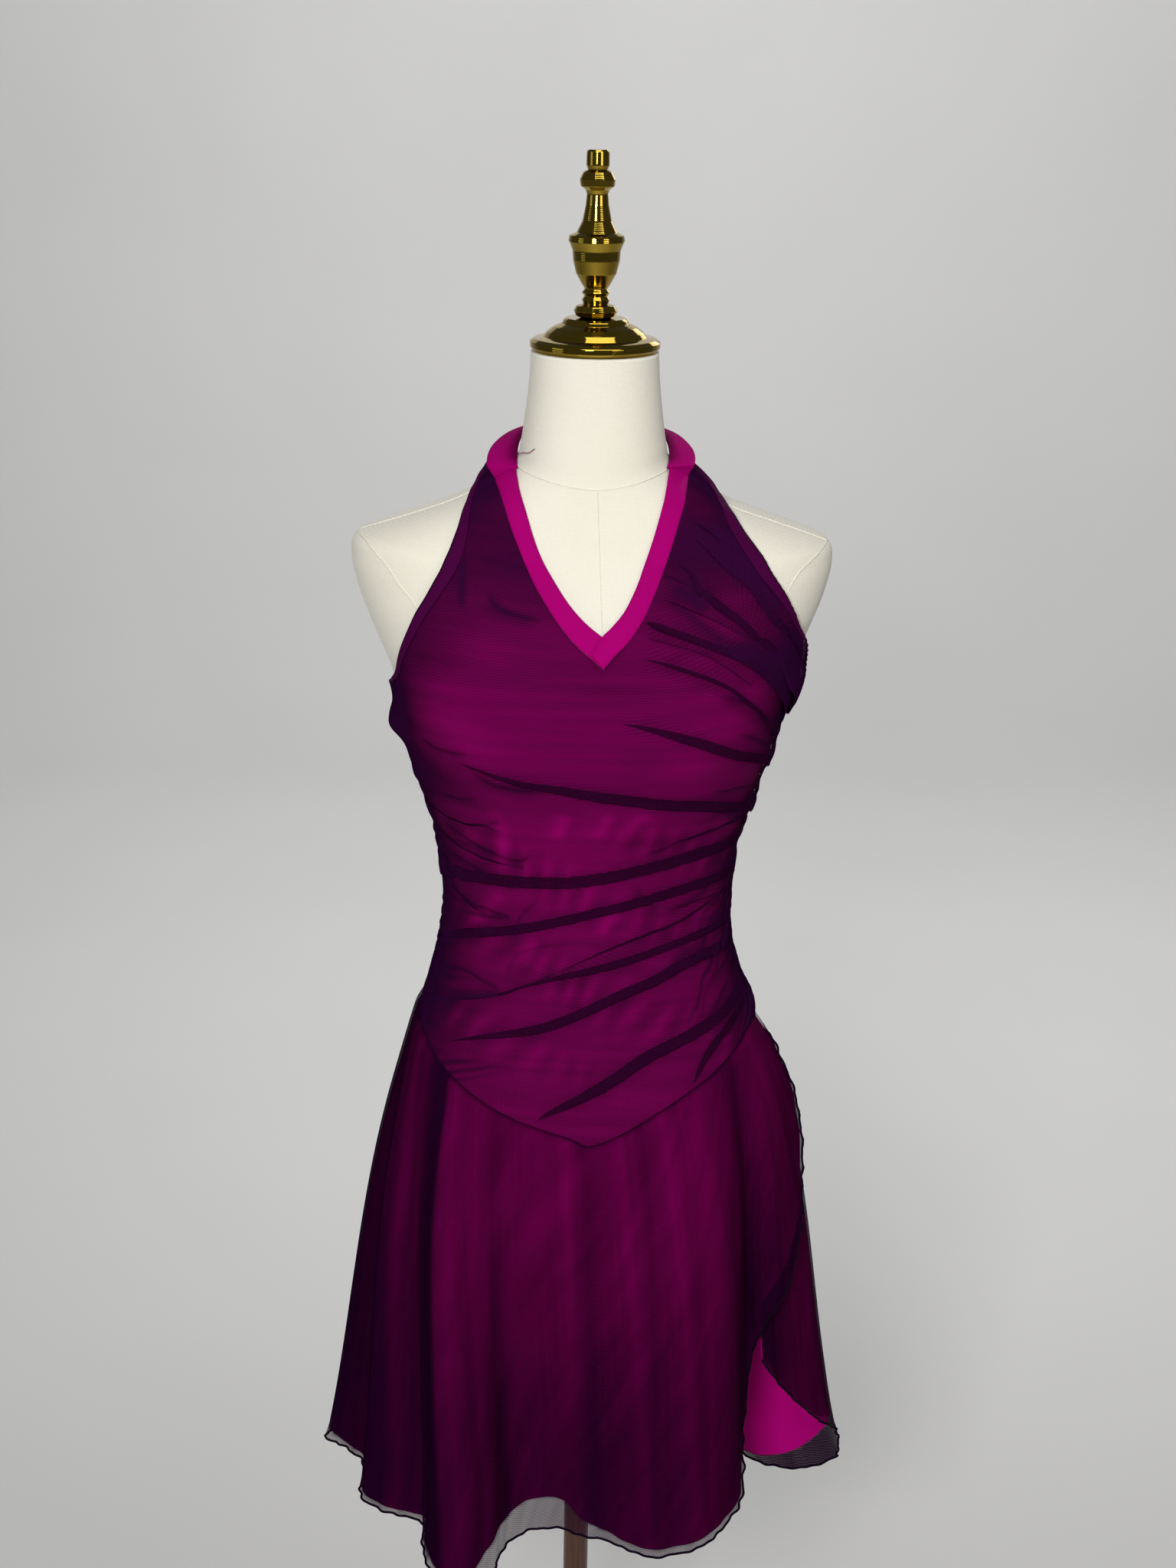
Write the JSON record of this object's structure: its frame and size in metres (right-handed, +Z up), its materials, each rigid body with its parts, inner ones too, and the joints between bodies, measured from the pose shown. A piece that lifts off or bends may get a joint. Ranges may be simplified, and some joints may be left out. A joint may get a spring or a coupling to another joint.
{
  "type": "figure skating dress on dress form",
  "caption": "Halter figure skating dress with a ruched mesh bodice, V-neck bands and a slit mesh skirt over a lining, on a limbless dress form with a turned cap and a round stand.",
  "frame": {"origin": "centre of the stand base's underside, on the floor", "axes": "+Z up the pole, the front of the dress towards -Y, +X towards the slit in the skirt"},
  "size_m": [0.4612, 0.3874, 1.6013],
  "materials": {
    "mesh_fabric": "sheer stretch mesh over lining, dark purple",
    "lining_fabric": "satin stretch lining, magenta",
    "form_linen": "matt woven linen cover, off-white",
    "brass": "polished",
    "stand_wood": "stained and varnished"
  },
  "bodies": {
    "root": {"form_torso": "form_linen", "neck_cap": "brass", "finial": "brass", "pole": "stand_wood", "base": "stand_wood", "bodice_front": "mesh_fabric", "bodice_back": "mesh_fabric", "neck_band_left": "lining_fabric", "neck_band_right": "lining_fabric", "neck_strap": "lining_fabric", "armhole_band_left": "mesh_fabric", "armhole_band_right": "mesh_fabric", "skirt_front_mesh": "mesh_fabric", "skirt_front_lining": "lining_fabric", "skirt_back_mesh": "mesh_fabric", "skirt_back_lining": "lining_fabric"}
  },
  "joints": []
}
